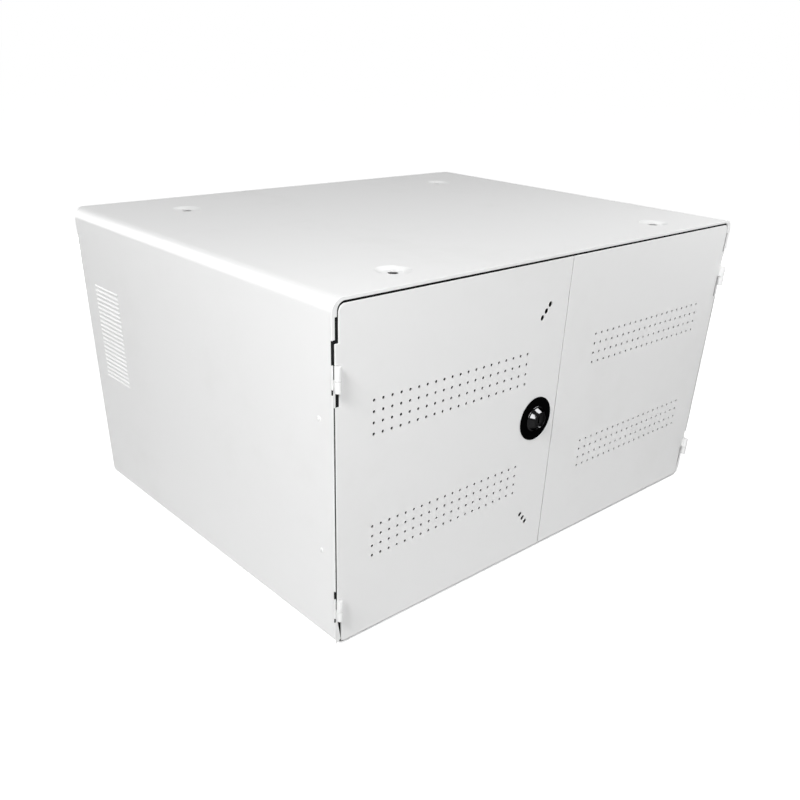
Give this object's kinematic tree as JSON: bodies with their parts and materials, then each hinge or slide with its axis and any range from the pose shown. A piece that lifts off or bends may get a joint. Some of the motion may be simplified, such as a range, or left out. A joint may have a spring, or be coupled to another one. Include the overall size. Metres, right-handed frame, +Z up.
{
  "type": "device charging cabinet",
  "caption": "Sheet-metal charging cabinet with perforated double doors, a cam lock, slide bolts, vented sides, stacking feet and a rear power bay behind slotted device dividers.",
  "frame": {"origin": "on the floor, midway between the sides and between the lock's face and the back", "axes": "+X to the right seen from the front, +Y to the back, +Z up"},
  "size_m": [0.6016, 0.481, 0.344],
  "materials": {
    "white_coat": "fine satin powder coat",
    "bright_steel": "bright zinc plate",
    "lock_black": "gloss black",
    "lock_chrome": "dark polished chrome",
    "black_rubber": "matte",
    "black_plastic": "fine texture",
    "rocker_plastic": "gloss black",
    "contact_brass": "bright",
    "grey_coat": "dark grey satin powder coat"
  },
  "bodies": {
    "cabinet": {"outer_shell": "white_coat", "top_stop_rail": "white_coat", "bottom_stop_rail": "white_coat", "left_front_stile": "white_coat", "right_front_stile": "white_coat", "rear_frame": "white_coat", "back_panel": "white_coat", "partition_wall": "white_coat", "stile_rivets": "white_coat", "left_upper_fixed_knuckle": "white_coat", "left_lower_fixed_knuckle": "white_coat", "right_upper_fixed_knuckle": "white_coat", "right_lower_fixed_knuckle": "white_coat", "left_hinge_pins": "bright_steel", "right_hinge_pins": "bright_steel", "back_panel_screws": "bright_steel", "power_strip_screws": "bright_steel", "inlet_screws": "bright_steel", "foot_screws": "bright_steel", "foot_nuts": "bright_steel", "door_bumpers": "black_rubber", "cable_grommets": "black_rubber", "front_left_foot": "black_rubber", "front_right_foot": "black_rubber", "rear_left_foot": "black_rubber", "rear_right_foot": "black_rubber", "power_strip_housing": "black_plastic", "power_strip_outlets": "black_plastic", "mains_inlet": "black_plastic", "switch_housing": "black_plastic", "inlet_contacts": "contact_brass", "device_tray": "grey_coat", "divider_1": "grey_coat", "divider_2": "grey_coat", "divider_3": "grey_coat", "divider_4": "grey_coat", "divider_5": "grey_coat", "divider_6": "grey_coat", "divider_7": "grey_coat", "divider_8": "grey_coat", "divider_9": "grey_coat"},
    "left_door": {"left_door_panel": "white_coat", "left_door_upper_knuckle": "white_coat", "left_door_lower_knuckle": "white_coat", "lock_rosette": "lock_black", "lock_barrel": "lock_chrome", "lock_nut": "bright_steel"},
    "lock": {"lock_plug": "lock_chrome", "lock_cam": "bright_steel", "lock_cam_screw": "bright_steel"},
    "right_door": {"right_door_panel": "white_coat", "right_door_upper_knuckle": "white_coat", "right_door_lower_knuckle": "white_coat", "bolt_guide_upper": "bright_steel", "bolt_guide_lower": "bright_steel"},
    "slide_bolt_upper": {"slide_bolt_upper": "bright_steel"},
    "slide_bolt_lower": {"slide_bolt_lower": "bright_steel"},
    "rocker": {"switch_rocker": "rocker_plastic"}
  },
  "joints": [
    {"name": "left_door_swing", "type": "hinge", "parent": "cabinet", "child": "left_door", "pos_m": [-0.297, -0.237, 0.278], "axis": [0, 0, -1], "range_deg": [0, 180]},
    {"name": "right_door_swing", "type": "hinge", "parent": "cabinet", "child": "right_door", "pos_m": [0.297, -0.237, 0.278], "axis": [0, 0, 1], "range_deg": [0, 180]},
    {"name": "lock_turn", "type": "hinge", "parent": "left_door", "child": "lock", "pos_m": [-0.032, -0.2335, 0.176], "axis": [0, 1, 0], "range_deg": [0, 90]},
    {"name": "upper_bolt_slide", "type": "slide", "parent": "right_door", "child": "slide_bolt_upper", "axis": [0, 0, 1], "range_m": [0, 0.014]},
    {"name": "lower_bolt_slide", "type": "slide", "parent": "right_door", "child": "slide_bolt_lower", "axis": [0, 0, -1], "range_m": [0, 0.014]},
    {"name": "power_rocker", "type": "hinge", "parent": "cabinet", "child": "rocker", "pos_m": [0.15, 0.2355, 0.078], "axis": [-1, 0, 0], "range_deg": [0, 20]}
  ]
}
